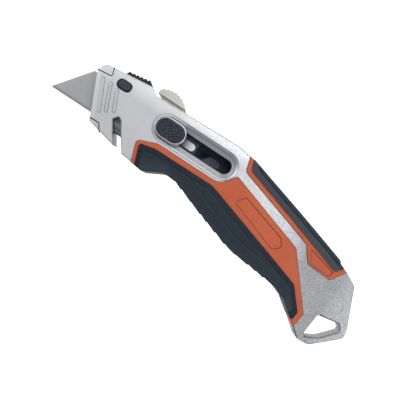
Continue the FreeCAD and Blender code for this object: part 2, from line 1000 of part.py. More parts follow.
def make_slider_frame():
    """Bright rim with a pocket for the pad, standing on a foot that passes the slot."""
    rim = prism(slider_corners(0.0), rim_low, rim_high)
    top = [edge for edge in rim.Edges if edge.BoundBox.ZMin > rim_high - fit_gap]
    rim = rim.makeFillet(rim_round, top)
    pocket = prism(slider_corners(-slider_rim), rim_low + slider_floor, tall)
    foot = prism(racetrack(slider_centre_x, track_centre_y, slider_foot_length,
                           slot_width - 2 * running_gap), carrier_high, rim_low)
    frame = rim.cut(pocket).fuse(foot)
    well = cylinder(slider_centre_x, track_centre_y, pad_spring_radius + free_gap,
                    spring_well_floor(), tall)
    frame = frame.cut(well)
    groove = box(slider_centre_x + tongue_root, slider_centre_x + slider_foot_length,
                 track_centre_y - slot_width, track_centre_y + slot_width,
                 carrier_high, tongue_high + fit_gap)
    return frame.cut(groove).removeSplitter()


def make_tongue():
    """Steel detent leaf under the track's floor, running back from the slider's foot."""
    start = slider_centre_x + tongue_root + fit_gap
    end = slider_centre_x + slider_length / 2 + tongue_length
    y = track_centre_y - tongue_offset
    corners = [(start, y - tongue_width / 2, 0.3), (start, y + tongue_width / 2, 0.3),
               (end, y + tongue_width / 2, 1.9), (end, y - tongue_width / 2, 1.9)]
    return prism(corners, carrier_high + fit_gap, tongue_high)


def pad_low():
    return rim_high + pad_proud - pad_height


def make_pad():
    """Pad that presses into the slider's rim to free the slide."""
    pad = prism(slider_corners(-slider_rim - slide_gap), pad_low(), rim_high + pad_proud)
    top = [edge for edge in pad.Edges if edge.BoundBox.ZMin > rim_high + pad_proud - fit_gap]
    return pad.makeFillet(pad_round, top)


def make_pad_spring():
    return coil(slider_centre_x, track_centre_y, pad_spring_radius - slide_gap, spring_wire,
                spring_well_floor() + fit_gap, pad_low() - fit_gap)


def make_cap():
    """Serrated half-moon thumb slide, wide above the spine and narrow in the channel."""
    rear_end = cap_front + cap_length
    shoulder = rear_end - cap_slope
    arch = Part.Arc(vector(cap_front, cap_low + cap_front_height),
                    vector(cap_front + cap_crown * cap_length, cap_low + cap_height),
                    vector(shoulder, cap_low + cap_rear_height)).toShape()
    corners = [vector(shoulder, cap_low + cap_rear_height), vector(rear_end, cap_low),
               vector(cap_front, cap_low), vector(cap_front, cap_low + cap_front_height)]
    edges = [arch] + [Part.makeLine(corners[i], corners[i + 1]) for i in range(3)]
    face = Part.Face(Part.Wire(edges))
    face.translate(vector(0, 0, -cap_half))
    cap = face.extrude(vector(0, 0, 2 * cap_half))
    centre = arch.Curve.Center
    radius = arch.Curve.Radius
    for index in range(cap_teeth + 1):
        x = cap_front + tooth_radius / 2 + index * (cap_length - cap_slope) / cap_teeth
        y = centre.y + math.sqrt(radius ** 2 - (x - centre.x) ** 2)
        cap = cap.cut(cylinder(x, y, tooth_radius, -tall, tall))
    base = box(cap_front + cap_base_front, rear_end - cap_base_rear,
               cap_channel_floor() + running_gap, cap_low, -cap_base_half, cap_base_half)
    cap = cap.fuse(base)
    arm = box(arm_front - fit_gap, arm_front + arm_length + fit_gap, 0.0,
              cap_low + arm_reach + fit_gap, -arm_half - fit_gap, arm_half + fit_gap)
    return cap.cut(arm).removeSplitter()


def build_all():
    left_belly_trim = make_trim(belly_edge, belly_black, badge_outline)
    left_back_trim = make_trim(back_edge, back_black, facet_outline)
    left_belly_grip = make_grip(belly_black)
    left_back_grip = make_grip(back_black)
    return {
        "left_shell": make_left_shell(),
        "right_shell": make_right_shell(),
        "shell_screws": make_screws(),
        "left_belly_trim": left_belly_trim,
        "right_belly_trim": mirrored(left_belly_trim),
        "left_back_trim": left_back_trim,
        "right_back_trim": mirrored(left_back_trim),
        "left_belly_grip": left_belly_grip,
        "right_belly_grip": mirrored(left_belly_grip),
        "left_back_grip": left_back_grip,
        "right_back_grip": mirrored(left_back_grip),
        "thumb_rest": make_thumb_rest(),
        "string_cutter": make_string_cutter(),
        "blade": make_fitted_blade(),
        "blade_carrier": make_carrier(),
        "blade_clamp": make_clamp(),
        "clamp_rivets": make_rivets(),
        "blade_lock_leaf": make_lock_leaf(),
        "slider_frame": make_slider_frame(),
        "detent_tongue": make_tongue(),
        "slider_pad": make_pad(),
        "slider_pad_spring": make_pad_spring(),
        "top_thumb_slide": make_cap(),
        "blade_release_button": make_button(),
        "release_spring": make_release_spring(),
        "blade_magazine": make_magazine(),
        "spare_blades": make_spare_blades(),
        "magazine_spring": make_magazine_spring(),
    }


nodes = build_all()
whole = Part.makeCompound(list(nodes.values())).optimalBoundingBox(False, False)
shift = vector(-whole.Center.x, -whole.Center.y, -whole.ZMin)
os.makedirs("parts", exist_ok=True)
for name, shape in nodes.items():
    shape.translate(shift)
    shape.exportStep("parts/" + name + ".step")
    print(name, len(shape.Solids), "solids", round(shape.Volume, 1), "mm3")
print("overall", [round(size, 2) for size in (whole.XLength, whole.YLength, whole.ZLength)])
print("moved by", [round(value, 3) for value in shift])
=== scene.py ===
import math

import bmesh
import bpy
import numpy as np
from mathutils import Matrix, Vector
from mathutils.bvhtree import BVHTree


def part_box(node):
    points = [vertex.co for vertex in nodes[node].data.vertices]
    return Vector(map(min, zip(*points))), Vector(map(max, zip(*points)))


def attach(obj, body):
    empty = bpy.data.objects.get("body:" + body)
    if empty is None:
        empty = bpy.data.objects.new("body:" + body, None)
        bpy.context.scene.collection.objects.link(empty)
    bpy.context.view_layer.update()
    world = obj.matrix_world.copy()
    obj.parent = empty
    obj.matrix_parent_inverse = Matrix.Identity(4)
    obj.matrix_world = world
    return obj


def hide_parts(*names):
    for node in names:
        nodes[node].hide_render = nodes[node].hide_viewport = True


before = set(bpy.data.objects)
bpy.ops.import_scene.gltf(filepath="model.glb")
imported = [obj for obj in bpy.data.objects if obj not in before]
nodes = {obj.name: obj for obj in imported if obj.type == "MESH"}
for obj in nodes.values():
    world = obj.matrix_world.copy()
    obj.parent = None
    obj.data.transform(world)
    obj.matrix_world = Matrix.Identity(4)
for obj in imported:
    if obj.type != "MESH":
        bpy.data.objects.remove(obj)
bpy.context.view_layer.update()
print("utility knife: frame loaded,", len(nodes), "CAD parts")

mm = 0.001
weldReach = 0.002
scene = bpy.context.scene
scene.view_settings.view_transform = "Standard"

# Places on the knife are millimetres: X towards the butt from just behind the blade's tip, Y from
# the cutting edge to the spine, Z out of the left side, which faces up.
bladeReach = 3.3
bladeLow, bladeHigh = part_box("blade")
tip = Vector((bladeLow.x + bladeReach * mm, bladeLow.y, (bladeLow.z + bladeHigh.z) / 2))


# Shader groups that several finishes share.
def newGroup(name, inputs, outputs):
    tree = bpy.data.node_groups.new(name, "ShaderNodeTree")
    for label, kind, value in inputs:
        socket = tree.interface.new_socket(label, in_out="INPUT", socket_type=kind)
        if value is not None:
            socket.default_value = value
    for label, kind in outputs:
        tree.interface.new_socket(label, in_out="OUTPUT", socket_type=kind)
    return tree, tree.nodes.new("NodeGroupInput"), tree.nodes.new("NodeGroupOutput")


def addNode(tree, kind, **settings):
    node = tree.nodes.new(kind)
    for name, value in settings.items():
        setattr(node, name, value)
    return node


def addMix(tree, factor, colourA, colourB, blend="MIX"):
    node = addNode(tree, "ShaderNodeMix", data_type="RGBA", blend_type=blend)
    for socket, value in ((node.inputs[0], factor), (node.inputs[6], colourA),
                          (node.inputs[7], colourB)):
        if isinstance(value, bpy.types.NodeSocket):
            tree.links.new(value, socket)
        else:
            socket.default_value = value
    return node.outputs[2]


def addMath(tree, operation, first, second=0.0, clamp=False):
    node = addNode(tree, "ShaderNodeMath", operation=operation, use_clamp=clamp)
    for socket, value in ((node.inputs[0], first), (node.inputs[1], second)):
        if isinstance(value, bpy.types.NodeSocket):
            tree.links.new(value, socket)
        else:
            socket.default_value = value
    return node.outputs[0]


def addRange(tree, value, fromLow, fromHigh, toLow, toHigh):
    node = addNode(tree, "ShaderNodeMapRange", interpolation_type="SMOOTHSTEP")
    tree.links.new(value, node.inputs[0])
    for index, number in enumerate((fromLow, fromHigh, toLow, toHigh), 1):
        node.inputs[index].default_value = number
    return node.outputs[0]


def addNoise(tree, vector, scale, detail=3.0, roughness=0.55):
    node = addNode(tree, "ShaderNodeTexNoise")
    tree.links.new(vector, node.inputs["Vector"])
    if isinstance(scale, bpy.types.NodeSocket):
        tree.links.new(scale, node.inputs["Scale"])
    else:
        node.inputs["Scale"].default_value = scale
    node.inputs["Detail"].default_value = detail
    node.inputs["Roughness"].default_value = roughness
    return node.outputs[0]


# Slow drift between two tones, as handling and moulding leave it.
toneDrift, driftIn, driftOut = newGroup(
    "toneDrift",
    [("Vector", "NodeSocketVector", None), ("Scale", "NodeSocketFloat", 40.0),
     ("Tone A", "NodeSocketColor", (0.5, 0.5, 0.5, 1.0)),
     ("Tone B", "NodeSocketColor", (0.4, 0.4, 0.4, 1.0))],
    [("Colour", "NodeSocketColor"), ("Mask", "NodeSocketFloat")])
driftNoise = addNoise(toneDrift, driftIn.outputs["Vector"], driftIn.outputs["Scale"], 4.0, 0.5)
driftMask = addRange(toneDrift, driftNoise, 0.32, 0.68, 0.0, 1.0)
toneDrift.links.new(driftMask, driftOut.inputs["Mask"])
toneDrift.links.new(addMix(toneDrift, driftMask, driftIn.outputs["Tone A"],
                           driftIn.outputs["Tone B"]), driftOut.inputs["Colour"])

# Fine grain: sand-cast texture on metal, spark-eroded texture on rubber and plastic.
fineGrain, grainIn, grainOut = newGroup(
    "fineGrain",
    [("Vector", "NodeSocketVector", None), ("Scale", "NodeSocketFloat", 1500.0),
     ("Depth", "NodeSocketFloat", 0.0001), ("Strength", "NodeSocketFloat", 0.4)],
    [("Grain", "NodeSocketFloat"), ("Normal", "NodeSocketVector")])
softGrain = addNoise(fineGrain, grainIn.outputs["Vector"], grainIn.outputs["Scale"], 3.0, 0.6)
pitScale = addMath(fineGrain, "MULTIPLY", grainIn.outputs["Scale"], 0.63)
pits = addNode(fineGrain, "ShaderNodeTexVoronoi", feature="SMOOTH_F1")
fineGrain.links.new(grainIn.outputs["Vector"], pits.inputs["Vector"])
fineGrain.links.new(pitScale, pits.inputs["Scale"])
grainHeight = addMath(fineGrain, "ADD", softGrain,
                      addMath(fineGrain, "MULTIPLY", pits.outputs["Distance"], 0.55))
grainBump = addNode(fineGrain, "ShaderNodeBump")
fineGrain.links.new(grainHeight, grainBump.inputs["Height"])
fineGrain.links.new(grainIn.outputs["Depth"], grainBump.inputs["Distance"])
fineGrain.links.new(grainIn.outputs["Strength"], grainBump.inputs["Strength"])
fineGrain.links.new(addRange(fineGrain, grainHeight, 0.45, 1.05, 0.0, 1.0),
                    grainOut.inputs["Grain"])
fineGrain.links.new(grainBump.outputs["Normal"], grainOut.inputs["Normal"])

# Sparse rub marks and small scuffs.
rubMarks, rubIn, rubOut = newGroup(
    "rubMarks",
    [("Vector", "NodeSocketVector", None), ("Scale", "NodeSocketFloat", 60.0),
     ("Amount", "NodeSocketFloat", 0.3)],
    [("Mask", "NodeSocketFloat")])
rubStretch = addNode(rubMarks, "ShaderNodeMapping")
rubMarks.links.new(rubIn.outputs["Vector"], rubStretch.inputs["Vector"])
rubStretch.inputs["Rotation"].default_value = (0.0, 0.0, 0.5)
rubStretch.inputs["Scale"].default_value = (1.0, 9.0, 4.0)
rubPatch = addNoise(rubMarks, rubIn.outputs["Vector"], rubIn.outputs["Scale"], 2.0, 0.5)
rubLine = addNoise(rubMarks, rubStretch.outputs["Vector"],
                   addMath(rubMarks, "MULTIPLY", rubIn.outputs["Scale"], 3.0), 2.0, 0.7)
rubMask = addMath(rubMarks, "MULTIPLY", addRange(rubMarks, rubPatch, 0.5, 0.7, 0.0, 1.0),
                  addRange(rubMarks, rubLine, 0.6, 0.72, 0.0, 1.0))
rubMarks.links.new(addMath(rubMarks, "MULTIPLY", rubMask, rubIn.outputs["Amount"]),
                   rubOut.inputs["Mask"])


def placeGroup(tree, group, coords, **values):
    node = addNode(tree, "ShaderNodeGroup", node_tree=group)
    tree.links.new(coords, node.inputs["Vector"])
    for label, value in values.items():
        node.inputs[label.replace("_", " ")].default_value = value
    return node


def paint(colour):
    return (colour[0], colour[1], colour[2], 1.0)


# One finish: two drifting tones, a grain that lightens and bumps the surface, and rub marks.
def makeFinish(name, look):
    material = bpy.data.materials.new(name)
    material.use_nodes = True
    tree = material.node_tree
    shader = tree.nodes["Principled BSDF"]
    coords = addNode(tree, "ShaderNodeTexCoord").outputs["Object"]
    drift = placeGroup(tree, toneDrift, coords, Scale=look["driftScale"],
                       Tone_A=paint(look["toneA"]), Tone_B=paint(look["toneB"]))
    grain = placeGroup(tree, fineGrain, coords, Scale=look["grainScale"],
                       Depth=look["grainDepth"] * mm, Strength=look["grainStrength"])
    marks = placeGroup(tree, rubMarks, coords, Scale=look["rubScale"], Amount=look["rubAmount"])
    spark = addMath(tree, "MULTIPLY", grain.outputs["Grain"], look["grainTint"])
    base = addMix(tree, spark, drift.outputs["Colour"], paint(look["grainTone"]))
    base = addMix(tree, marks.outputs["Mask"], base, paint(look["rubTone"]))
    rough = addMath(tree, "MULTIPLY_ADD", grain.outputs["Grain"], look["roughSwing"])
    rough.node.inputs[2].default_value = look["roughness"]
    tree.links.new(base, shader.inputs["Base Color"])
    tree.links.new(rough, shader.inputs["Roughness"])
    tree.links.new(grain.outputs["Normal"], shader.inputs["Normal"])
    shader.inputs["Metallic"].default_value = look["metallic"]
    shader.inputs["Specular IOR Level"].default_value = look.get("specular", 0.5)
    return material, tree, shader, coords, base


def setFinish(material, *names):
    for name in names:
        piece = nodes[name] if isinstance(name, str) else name
        if not piece.material_slots:
            piece.data.materials.append(material)
        for materialSlot in piece.material_slots:
            materialSlot.material = material


# Satin silver lacquer over cast metal: smooth and pale on the nose, coarser and in painted shade at
# the butt.
castLook = {
    "toneA": (0.82, 0.825, 0.85), "toneB": (0.75, 0.755, 0.785), "driftScale": 28.0,
    "grainScale": 2600.0, "grainDepth": 0.12, "grainStrength": 0.35, "grainTint": 0.25,
    "grainTone": (0.70, 0.705, 0.72), "rubScale": 50.0, "rubAmount": 0.10,
    "rubTone": (0.36, 0.37, 0.40), "roughness": 0.36, "roughSwing": 0.16, "metallic": 0.75,
    "sparkScale": 1500.0, "sparkStart": 55.0, "sparkEnd": 175.0, "sandLow": 0.42,
    "sandHigh": 0.62, "sandDark": (0.80, 0.81, 0.83), "sandBright": (1.20, 1.20, 1.20),
    "buttTone": (0.39, 0.385, 0.375), "buttStart": 130.0, "buttFull": 158.0, "loopStart": 171.0,
    "loopFull": 183.0, "loopShare": 0.70,
    "crownStart": 17.0, "crownBend": 20.0, "sideTone": (0.66, 0.68, 0.71), "sideSteep": 0.15,
    "sideFlat": 0.72, "wallFacing": 0.2,
    "slotTone": (0.15, 0.175, 0.19), "slotStart": 31.0, "slotEnd": 50.0, "slotLow": -12.0,
    "slotHigh": 6.5, "slotDepth": 6.9,
    "bayTone": (0.035, 0.045, 0.065), "bayStart": 66.0, "bayEnd": 108.0, "bayLow": -3.0,
    "bayHigh": 20.0, "bayDepth": 6.2,
    "spineTone": (0.76, 0.765, 0.775), "spineStart": 48.0, "spineFull": 74.0,
    "spineLow": 15.0, "spineHigh": 22.0,
}
castMetal, castTree, castShader, castCoords, castBase = makeFinish("castMetal", castLook)
castPlace = addNode(castTree, "ShaderNodeSeparateXYZ")
castTree.links.new(castCoords, castPlace.inputs[0])
castFacing = addNode(castTree, "ShaderNodeSeparateXYZ")
castTree.links.new(addNode(castTree, "ShaderNodeNewGeometry").outputs["Normal"],
                   castFacing.inputs[0])
castWhite = (1.0, 1.0, 1.0, 1.0)


def castRange(start, end, low, high):
    return addRange(castTree, castPlace.outputs["X"], tip.x + castLook[start] * mm,
                    tip.x + castLook[end] * mm, low, high)


def castWithin(axis, low, high):
    above = addMath(castTree, "GREATER_THAN", castPlace.outputs[axis], low)
    below = addMath(castTree, "LESS_THAN", castPlace.outputs[axis], high)
    return addMath(castTree, "MULTIPLY", above, below)


# Coarse sparkle grows towards the butt, and painted shade darkens the metal there, a little less at
# the loop.
sandNoise = addNoise(castTree, castCoords, castLook["sparkScale"], 2.0, 0.8)
sandMask = addRange(castTree, sandNoise, castLook["sandLow"], castLook["sandHigh"], 0.0, 1.0)
sandTone = addMix(castTree, sandMask, paint(castLook["sandDark"]), paint(castLook["sandBright"]))
sandTone = addMix(castTree, castRange("sparkStart", "sparkEnd", 0.0, 1.0), castWhite, sandTone)
buttShadeShare = addMath(castTree, "MULTIPLY", castRange("buttStart", "buttFull", 0.0, 1.0),
                    castRange("loopStart", "loopFull", 1.0, castLook["loopShare"]))
buttShadeTone = addMix(castTree, buttShadeShare, castWhite, paint(castLook["buttTone"]))
castTone = addMix(castTree, 1.0, castBase, sandTone, "MULTIPLY")
castTone = addMix(castTree, 1.0, castTone, buttShadeTone, "MULTIPLY")

# The casting's sides, its spine behind the nose, the string slot's front wall and the inner bay
# have darker tones of their own, which stand in for shade.
flatness = addMath(castTree, "ABSOLUTE", castFacing.outputs["Z"])
sideShare = addRange(castTree, flatness, castLook["sideSteep"], castLook["sideFlat"], 1.0, 0.0)
sideTone = addMix(castTree, sideShare, castWhite, paint(castLook["sideTone"]))
castTone = addMix(castTree, 1.0, castTone, sideTone, "MULTIPLY")
spineShare = addMath(castTree, "MULTIPLY", castRange("spineStart", "spineFull", 0.0, 1.0),
                     addRange(castTree, castPlace.outputs["Y"],
                              tip.y + castLook["spineLow"] * mm,
                              tip.y + castLook["spineHigh"] * mm, 0.0, 1.0))
spineTone = addMix(castTree, spineShare, castWhite, paint(castLook["spineTone"]))
castTone = addMix(castTree, 1.0, castTone, spineTone, "MULTIPLY")


def castBox(part):
    depth = castLook[part + "Depth"] * mm
    inside = castWithin("X", tip.x + castLook[part + "Start"] * mm,
                        tip.x + castLook[part + "End"] * mm)
    inside = addMath(castTree, "MULTIPLY", inside,
                     castWithin("Y", tip.y + castLook[part + "Low"] * mm,
                                tip.y + castLook[part + "High"] * mm))
    return addMath(castTree, "MULTIPLY", inside,
                   castWithin("Z", tip.z - depth, tip.z + depth))


frontWall = addMath(castTree, "GREATER_THAN", castFacing.outputs["X"], castLook["wallFacing"])
slotWall = addMath(castTree, "MULTIPLY", frontWall, castBox("slot"))
castTone = addMix(castTree, slotWall, castTone, paint(castLook["slotTone"]))
castTree.links.new(addMix(castTree, castBox("bay"), castTone, paint(castLook["bayTone"])),
                   castShader.inputs["Base Color"])

# A shallow bump leans the normals towards the spine, so the faces look slightly crowned.
pastCrown = addMath(castTree, "SUBTRACT", castPlace.outputs["Y"],
                    tip.y + castLook["crownStart"] * mm)
pastCrown = addMath(castTree, "MAXIMUM", pastCrown, 0.0)
crownDrop = addMath(castTree, "MULTIPLY", addMath(castTree, "MULTIPLY", pastCrown, pastCrown),
                    -0.5 * castLook["crownBend"])
crownBump = addNode(castTree, "ShaderNodeBump")
crownBump.inputs["Strength"].default_value = 1.0
crownBump.inputs["Distance"].default_value = 1.0
castTree.links.new(crownDrop, crownBump.inputs["Height"])
castTree.links.new(castShader.inputs["Normal"].links[0].from_socket, crownBump.inputs["Normal"])
castTree.links.new(crownBump.outputs["Normal"], castShader.inputs["Normal"])

orangeLook = {
    "toneA": (0.60, 0.125, 0.048), "toneB": (0.53, 0.105, 0.042), "driftScale": 35.0,
    "grainScale": 2200.0, "grainDepth": 0.05, "grainStrength": 0.3, "grainTint": 0.08,
    "grainTone": (0.66, 0.18, 0.09), "rubScale": 45.0, "rubAmount": 0.12,
    "rubTone": (0.42, 0.09, 0.04), "roughness": 0.48, "roughSwing": 0.15, "metallic": 0.0,
    "specular": 0.35,
}
orangePlastic = makeFinish("orangePlastic", orangeLook)[0]

rubberLook = {
    "toneA": (0.009, 0.021, 0.031), "toneB": (0.013, 0.026, 0.036), "driftScale": 45.0,
    "grainScale": 1800.0, "grainDepth": 0.10, "grainStrength": 0.45, "grainTint": 0.12,
    "grainTone": (0.034, 0.048, 0.064), "rubScale": 55.0, "rubAmount": 0.18,
    "rubTone": (0.060, 0.070, 0.078), "roughness": 0.55, "roughSwing": 0.18, "metallic": 0.0,
    "specular": 0.34, "bevelTone": (0.004, 0.009, 0.022), "sheenAndWear": (0.062, 0.074, 0.092),
}


# Sculpted rubber carries painted light and shade in its shade attribute: negative values paint
# shade in hollows and bevels, positive values a lighter tone, painted sheen and wear.
def makeShadedRubber(name, look):
    material, tree, shader, _, base = makeFinish(name, look)
    shade = addNode(tree, "ShaderNodeAttribute", attribute_name="shade").outputs["Fac"]
    hollow = addRange(tree, addMath(tree, "MULTIPLY", shade, -1.0), 0.0, 1.0, 0.0, 0.9)
    sheenAndWear = addRange(tree, shade, 0.0, 1.0, 0.0, 0.9)
    tone = addMix(tree, hollow, base, paint(look["bevelTone"]))
    tone = addMix(tree, sheenAndWear, tone, paint(look["sheenAndWear"]))
    tree.links.new(tone, shader.inputs["Base Color"])
    return material


def writeShade(piece, values):
    shade = piece.data.attributes.new("shade", "FLOAT", "POINT")
    shade.data.foreach_set("value", np.clip(values, -1.0, 1.0).astype(np.float32))


gripRubber = makeShadedRubber("gripRubber", rubberLook)
padLook = dict(rubberLook, toneA=(0.026, 0.038, 0.058), toneB=(0.032, 0.046, 0.066),
               grainScale=2600.0, grainDepth=0.04, roughness=0.42,
               bevelTone=(0.010, 0.014, 0.024), sheenAndWear=(0.070, 0.084, 0.110))
padRubber = makeShadedRubber("padRubber", padLook)
restRubber = makeFinish("restRubber", dict(padLook, toneA=(0.016, 0.018, 0.021),
                                           toneB=(0.022, 0.024, 0.028)))[0]
buttonPlastic = makeFinish("buttonPlastic", dict(padLook, toneA=(0.032, 0.045, 0.052),
                                                 toneB=(0.042, 0.056, 0.064),
                                                 roughness=0.38))[0]
magazinePlastic = makeFinish("magazinePlastic", dict(padLook, toneA=(0.012, 0.018, 0.032),
                                                     toneB=(0.022, 0.030, 0.048)))[0]

# Ground steel: long fine grinding lines across the blade, brighter on the honed edge.
bladeLook = {
    "toneA": (0.68, 0.69, 0.70), "toneB": (0.62, 0.63, 0.64), "driftScale": 60.0,
    "grainScale": 3000.0, "grainDepth": 0.02, "grainStrength": 0.2, "grainTint": 0.1,
    "grainTone": (0.75, 0.76, 0.77), "rubScale": 90.0, "rubAmount": 0.15,
    "rubTone": (0.45, 0.46, 0.48), "roughness": 0.34, "roughSwing": 0.12, "metallic": 0.9,
    "honed": 1.35, "honedTone": (0.60, 0.61, 0.63), "edgeTone": (0.12, 0.12, 0.13), "edge": 0.32,
    "edgeStart": 0.6, "lineStretch": 0.02, "lineScale": 5200.0,
    "lineTone": (0.50, 0.51, 0.52), "lineShare": 0.35,
}


def makeBladeSteel(look):
    material, tree, shader, coords, base = makeFinish("bladeSteel", look)
    place = addNode(tree, "ShaderNodeSeparateXYZ")
    tree.links.new(coords, place.inputs[0])
    stretch = addNode(tree, "ShaderNodeMapping")
    tree.links.new(coords, stretch.inputs["Vector"])
    stretch.inputs["Scale"].default_value = (1.0, look["lineStretch"], 1.0)
    lines = addNoise(tree, stretch.outputs["Vector"], look["lineScale"], 2.0, 0.7)
    height = addMath(tree, "SUBTRACT", place.outputs["Y"], tip.y)
    honed = addMath(tree, "LESS_THAN", height, look["honed"] * mm)
    edge = addRange(tree, height, look["edge"] * look["edgeStart"] * mm, look["edge"] * mm,
                    1.0, 0.0)
    lined = addMix(tree, addRange(tree, lines, 0.35, 0.65, 0.0, look["lineShare"]), base,
                   paint(look["lineTone"]))
    lined = addMix(tree, honed, lined, paint(look["honedTone"]))
    tree.links.new(addMix(tree, edge, lined, paint(look["edgeTone"])),
                   shader.inputs["Base Color"])
    return material


bladeSteel = makeBladeSteel(bladeLook)
steelLook = dict(bladeLook, toneA=(0.50, 0.51, 0.53), toneB=(0.42, 0.43, 0.45), roughness=0.24)
springSteel = makeFinish("springSteel", steelLook)[0]
screwSteel = makeFinish("screwSteel", dict(steelLook, toneA=(0.22, 0.22, 0.23),
                                           toneB=(0.17, 0.17, 0.18)))[0]
rimMetal = makeFinish("rimMetal", dict(castLook, toneA=(0.68, 0.685, 0.70),
                                       toneB=(0.60, 0.605, 0.62), roughness=0.26,
                                       grainDepth=0.03, rubAmount=0.08))[0]
slideMetal = makeFinish("slideMetal", dict(castLook, toneA=(0.68, 0.67, 0.64),
                                           toneB=(0.60, 0.59, 0.56), roughness=0.42,
                                           grainScale=1500.0, grainDepth=0.10,
                                           grainTone=(0.72, 0.70, 0.66)))[0]
carrierMetal = makeFinish("carrierMetal", dict(castLook, toneA=(0.045, 0.062, 0.10),
                                               toneB=(0.025, 0.038, 0.068), roughness=0.3,
                                               grainTone=(0.09, 0.11, 0.15)))[0]
# The spare blades' steel is painted dark: painted shade for blades lying in the dark inside the
# handle.
shadedSpareSteel = makeFinish("shadedSpareSteel", dict(steelLook, toneA=(0.11, 0.145, 0.18),
                                           toneB=(0.07, 0.095, 0.13), rubAmount=0.0))[0]
# Dark tones for tubes that paint the shadow in joints and gaps and the shade along the casting's
# edges.
seamShadowBrown = makeFinish("seamShadowBrown", dict(padLook, toneA=(0.050, 0.026, 0.022),
                                         toneB=(0.066, 0.034, 0.028), roughness=0.7))[0]
gapShadowBlack = makeFinish("gapShadowBlack", dict(padLook, toneA=(0.010, 0.012, 0.016),
                                       toneB=(0.016, 0.018, 0.022), roughness=0.7))[0]
edgeShadeGrey = makeFinish("edgeShadeGrey", dict(castLook, toneA=(0.30, 0.31, 0.33),
                                       toneB=(0.24, 0.25, 0.27), roughness=0.5))[0]


# The detent's tongue: painted shade darkens its root and a painted highlight brightens its free
# end.
def makeTongueSteel(look, node):
    material, tree, shader, coords, base = makeFinish("tongueSteel", look)
    place = addNode(tree, "ShaderNodeSeparateXYZ")
    tree.links.new(coords, place.inputs[0])
    low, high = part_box(node)
    highlightShare = addRange(tree, place.outputs["X"], low.x + look["highlightStart"] * (high.x - low.x),
                      high.x - look["highlightShort"] * mm, 0.0, 1.0)
    tone = addMix(tree, highlightShare, paint(look["rootTone"]), paint(look["endTone"]))
    tree.links.new(addMix(tree, 1.0, base, tone, "MULTIPLY"), shader.inputs["Base Color"])
    return material


tongueLook = dict(steelLook, toneA=(0.85, 0.87, 0.88), toneB=(0.80, 0.82, 0.84), rubAmount=0.0,
                  grainTint=0.0, metallic=0.5, roughness=0.4, rootTone=(0.10, 0.14, 0.17),
                  endTone=(1.0, 1.0, 1.0), highlightStart=0.35, highlightShort=0.4)
tongueSteel = makeTongueSteel(tongueLook, "detent_tongue")

setFinish(castMetal, "left_shell", "right_shell")
setFinish(orangePlastic, "left_belly_trim", "right_belly_trim", "left_back_trim",
          "right_back_trim")
setFinish(gripRubber, "left_belly_grip", "right_belly_grip", "left_back_grip", "right_back_grip")
setFinish(bladeSteel, "blade")
setFinish(shadedSpareSteel, "spare_blades")
setFinish(carrierMetal, "blade_carrier")
setFinish(tongueSteel, "detent_tongue")
setFinish(springSteel, "string_cutter", "blade_clamp", "clamp_rivets", "blade_lock_leaf",
          "magazine_spring", "release_spring", "slider_pad_spring")
setFinish(rimMetal, "slider_frame")
setFinish(slideMetal, "top_thumb_slide")
setFinish(padRubber, "slider_pad")
setFinish(restRubber, "thumb_rest")
setFinish(buttonPlastic, "blade_release_button")
setFinish(magazinePlastic, "blade_magazine")
setFinish(screwSteel, "shell_screws")
print("utility knife: finishes made")


# Soft and cast pieces get a fine even skin first, and then their own relief.
def fineSkin(name, node, voxel):
    piece = bpy.data.objects.new(name, nodes[node].data.copy())
    scene.collection.objects.link(piece)
    work = bmesh.new()
    work.from_mesh(piece.data)
    bmesh.ops.remove_doubles(work, verts=work.verts, dist=weldReach * mm)
    work.to_mesh(piece.data)
    work.free()
    skin = piece.modifiers.new("skin", "REMESH")
    skin.mode = "VOXEL"
    skin.voxel_size = voxel * mm
    skin.use_smooth_shade = True
    graph = bpy.context.evaluated_depsgraph_get()
    mesh = bpy.data.meshes.new_from_object(piece.evaluated_get(graph))
    piece.modifiers.clear()
    piece.data = mesh
    mesh.name = name
    return piece


def smoothSkin(piece, rounds, factor=0.5):
    work = bmesh.new()
    work.from_mesh(piece.data)
    for _ in range(rounds):
        bmesh.ops.smooth_vert(work, verts=work.verts, factor=factor, use_axis_x=True,
                              use_axis_y=True, use_axis_z=True)
    work.to_mesh(piece.data)
    work.free()
    piece.data.shade_smooth()


def readSkin(piece):
    count = len(piece.data.vertices)
    points = np.zeros(count * 3, np.float32)
    facing = np.zeros(count * 3, np.float32)
    piece.data.vertices.foreach_get("co", points)
    piece.data.vertices.foreach_get("normal", facing)
    places = (points.reshape(-1, 3).astype(float) - np.array(tip)) / mm
    return places, facing.reshape(-1, 3).astype(float)


def writeSkin(piece, places):
    points = (places * mm + np.array(tip)).astype(np.float32)
    piece.data.vertices.foreach_set("co", points.ravel())
    piece.data.update()


# Distance from a broken line, positive on its left as it is walked.
def lineDistance(places, corners):
    best = np.full(len(places), 1e9)
    side = np.ones(len(places))
    for start, end in zip(corners[:-1], corners[1:]):
        run = np.array(end, float) - np.array(start, float)
        offset = places[:, :2] - np.array(start, float)
        share = np.clip(offset @ run / (run @ run), 0.0, 1.0)
        away = offset - share[:, None] * run
        distance = np.hypot(away[:, 0], away[:, 1])
        turn = run[0] * offset[:, 1] - run[1] * offset[:, 0]
        closer = distance < best
        best = np.where(closer, distance, best)
        side = np.where(closer, np.where(turn >= 0, 1.0, -1.0), side)
    return best * side


def finishPiece(piece, node, body, material):
    piece.data.materials.clear()
    piece.data.materials.append(material)
    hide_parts(node)
    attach(piece, body)


